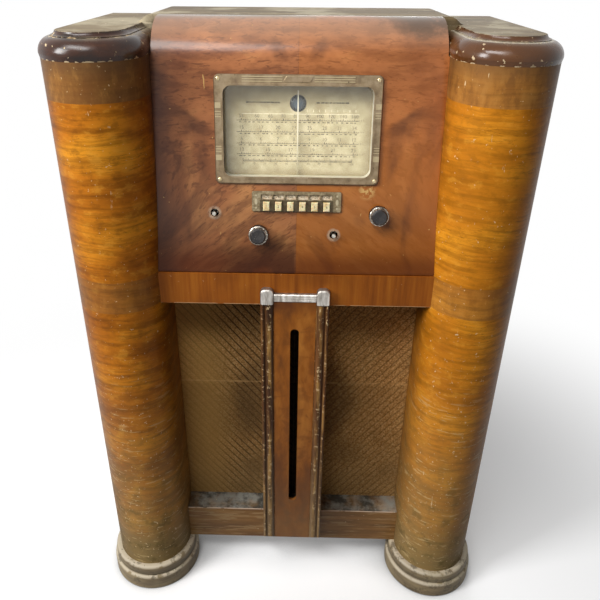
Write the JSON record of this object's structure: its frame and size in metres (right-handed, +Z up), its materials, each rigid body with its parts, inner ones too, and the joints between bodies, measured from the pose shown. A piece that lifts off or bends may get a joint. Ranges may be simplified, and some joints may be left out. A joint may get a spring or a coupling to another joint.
{
  "type": "console radio",
  "caption": "Floor-standing wooden radio with round front columns, a sloping control panel with dial, push keys and knobs, and a cloth grille behind a central pilaster.",
  "frame": {"origin": "middle of the footprint, at floor level", "axes": "+Z up, +X to the right seen from the front, -Y out of the front"},
  "size_m": [0.74, 0.36, 1.06],
  "materials": {
    "column_veneer": "satin",
    "crown_lacquer": "gloss",
    "foot_lacquer": "satin",
    "side_veneer": "satin",
    "top_veneer": "matte",
    "panel_veneer": "satin",
    "apron_veneer": "satin",
    "rail_wood": "satin",
    "post_wood": "satin",
    "slot_veneer": "satin",
    "bare_wood": "matte",
    "grille_fabric": "woven",
    "cap_metal": "satin",
    "dial_brass": "satin",
    "plate_brass": "satin",
    "window_glass": "clear",
    "scale_print": "matte",
    "pointer_paint": "gloss",
    "key_plastic": "gloss",
    "knob_plastic": "gloss",
    "switch_plastic": "matte",
    "shaft_steel": "satin",
    "plated_steel": "satin",
    "gang_alloy": "satin",
    "drum_steel": "satin",
    "valve_glass": "clear",
    "core_steel": "satin",
    "basket_paint": "satin",
    "cone_paper": "matte",
    "grommet_rubber": "matte"
  },
  "bodies": {
    "cabinet": {"column_right": "column_veneer", "column_left": "column_veneer", "crown_right": "crown_lacquer", "crown_left": "crown_lacquer", "foot_right": "foot_lacquer", "foot_left": "foot_lacquer", "side_panel_right": "side_veneer", "side_panel_left": "side_veneer", "top_board": "top_veneer", "top_centre": "top_veneer", "control_panel": "panel_veneer", "apron": "apron_veneer", "bottom_rail": "rail_wood", "sill": "rail_wood", "pilaster_post_right": "post_wood", "pilaster_post_left": "post_wood", "slot_panel": "slot_veneer", "glue_blocks": "bare_wood", "baffle": "bare_wood", "shelf": "bare_wood", "rear_rails": "bare_wood", "grille_cloth_right": "grille_fabric", "grille_cloth_left": "grille_fabric", "pilaster_caps": "cap_metal", "escutcheon": "dial_brass", "button_plate": "plate_brass", "dial_glass": "window_glass", "dial_scale": "scale_print", "button_block": "switch_plastic", "valve_bases": "switch_plastic", "eye_base": "switch_plastic", "pointer_rail": "shaft_steel", "chassis": "plated_steel", "dial_bracket": "plated_steel", "control_bodies": "plated_steel", "gang_frame": "gang_alloy", "screen_cans": "gang_alloy", "valve_bulbs": "valve_glass", "eye_tube": "valve_glass", "power_transformer": "core_steel", "output_transformer": "core_steel", "speaker_basket": "basket_paint", "speaker_magnet": "basket_paint", "speaker_cone": "cone_paper", "cord_grommet": "grommet_rubber"},
    "volume_control": {"volume_shaft": "shaft_steel", "volume_knob": "knob_plastic"},
    "tuning_control": {"tuning_shaft": "shaft_steel", "tuning_knob": "knob_plastic"},
    "tone_control": {"tone_shaft": "shaft_steel"},
    "band_control": {"band_shaft": "shaft_steel"},
    "pointer": {"dial_pointer": "pointer_paint"},
    "tuning_gang": {"gang_rotor": "gang_alloy", "dial_drum": "drum_steel"},
    "button_1": {"push_button_1": "key_plastic"},
    "button_2": {"push_button_2": "key_plastic"},
    "button_3": {"push_button_3": "key_plastic"},
    "button_4": {"push_button_4": "key_plastic"},
    "button_5": {"push_button_5": "key_plastic"},
    "button_6": {"push_button_6": "key_plastic"}
  },
  "joints": [
    {"name": "volume_turn", "type": "hinge", "parent": "cabinet", "child": "volume_control", "pos_m": [-0.058, -0.11109, 0.75475], "axis": [0, -0.9885, 0.1513], "range_deg": [-150, 150]},
    {"name": "tuning_turn", "type": "hinge", "parent": "cabinet", "child": "tuning_control", "pos_m": [0.1255, -0.10618, 0.78687], "axis": [0, -0.9885, 0.1513], "range_deg": [-1080, 1080]},
    {"name": "tone_turn", "type": "hinge", "parent": "cabinet", "child": "tone_control", "pos_m": [-0.1255, -0.10618, 0.78687], "axis": [0, -0.9885, 0.1513], "range_deg": [-135, 135]},
    {"name": "band_turn", "type": "hinge", "parent": "cabinet", "child": "band_control", "pos_m": [0.058, -0.11109, 0.75475], "axis": [0, -0.9885, 0.1513], "range_deg": [-30, 30]},
    {"name": "pointer_slide", "type": "slide", "parent": "cabinet", "child": "pointer", "axis": [1, 0, 0], "range_m": [-0.085, 0.085]},
    {"name": "gang_turn", "type": "hinge", "parent": "cabinet", "child": "tuning_gang", "pos_m": [0.092, -0.09317, 0.87188], "axis": [0, -0.9885, 0.1513], "range_deg": [-90, 90]},
    {"name": "button_1_press", "type": "slide", "parent": "cabinet", "child": "button_1", "axis": [0, 0.9885, -0.1513], "range_m": [0, 0.005], "stiffness_N_per_m": 120},
    {"name": "button_2_press", "type": "slide", "parent": "cabinet", "child": "button_2", "axis": [0, 0.9885, -0.1513], "range_m": [0, 0.005], "stiffness_N_per_m": 120},
    {"name": "button_3_press", "type": "slide", "parent": "cabinet", "child": "button_3", "axis": [0, 0.9885, -0.1513], "range_m": [0, 0.005], "stiffness_N_per_m": 120},
    {"name": "button_4_press", "type": "slide", "parent": "cabinet", "child": "button_4", "axis": [0, 0.9885, -0.1513], "range_m": [0, 0.005], "stiffness_N_per_m": 120},
    {"name": "button_5_press", "type": "slide", "parent": "cabinet", "child": "button_5", "axis": [0, 0.9885, -0.1513], "range_m": [0, 0.005], "stiffness_N_per_m": 120},
    {"name": "button_6_press", "type": "slide", "parent": "cabinet", "child": "button_6", "axis": [0, 0.9885, -0.1513], "range_m": [0, 0.005], "stiffness_N_per_m": 120}
  ],
  "couplings": [
    {"joint": "pointer_slide", "follows": "tuning_turn", "m_per_rad": 0.0045},
    {"joint": "gang_turn", "follows": "tuning_turn", "ratio": 0.08316}
  ]
}
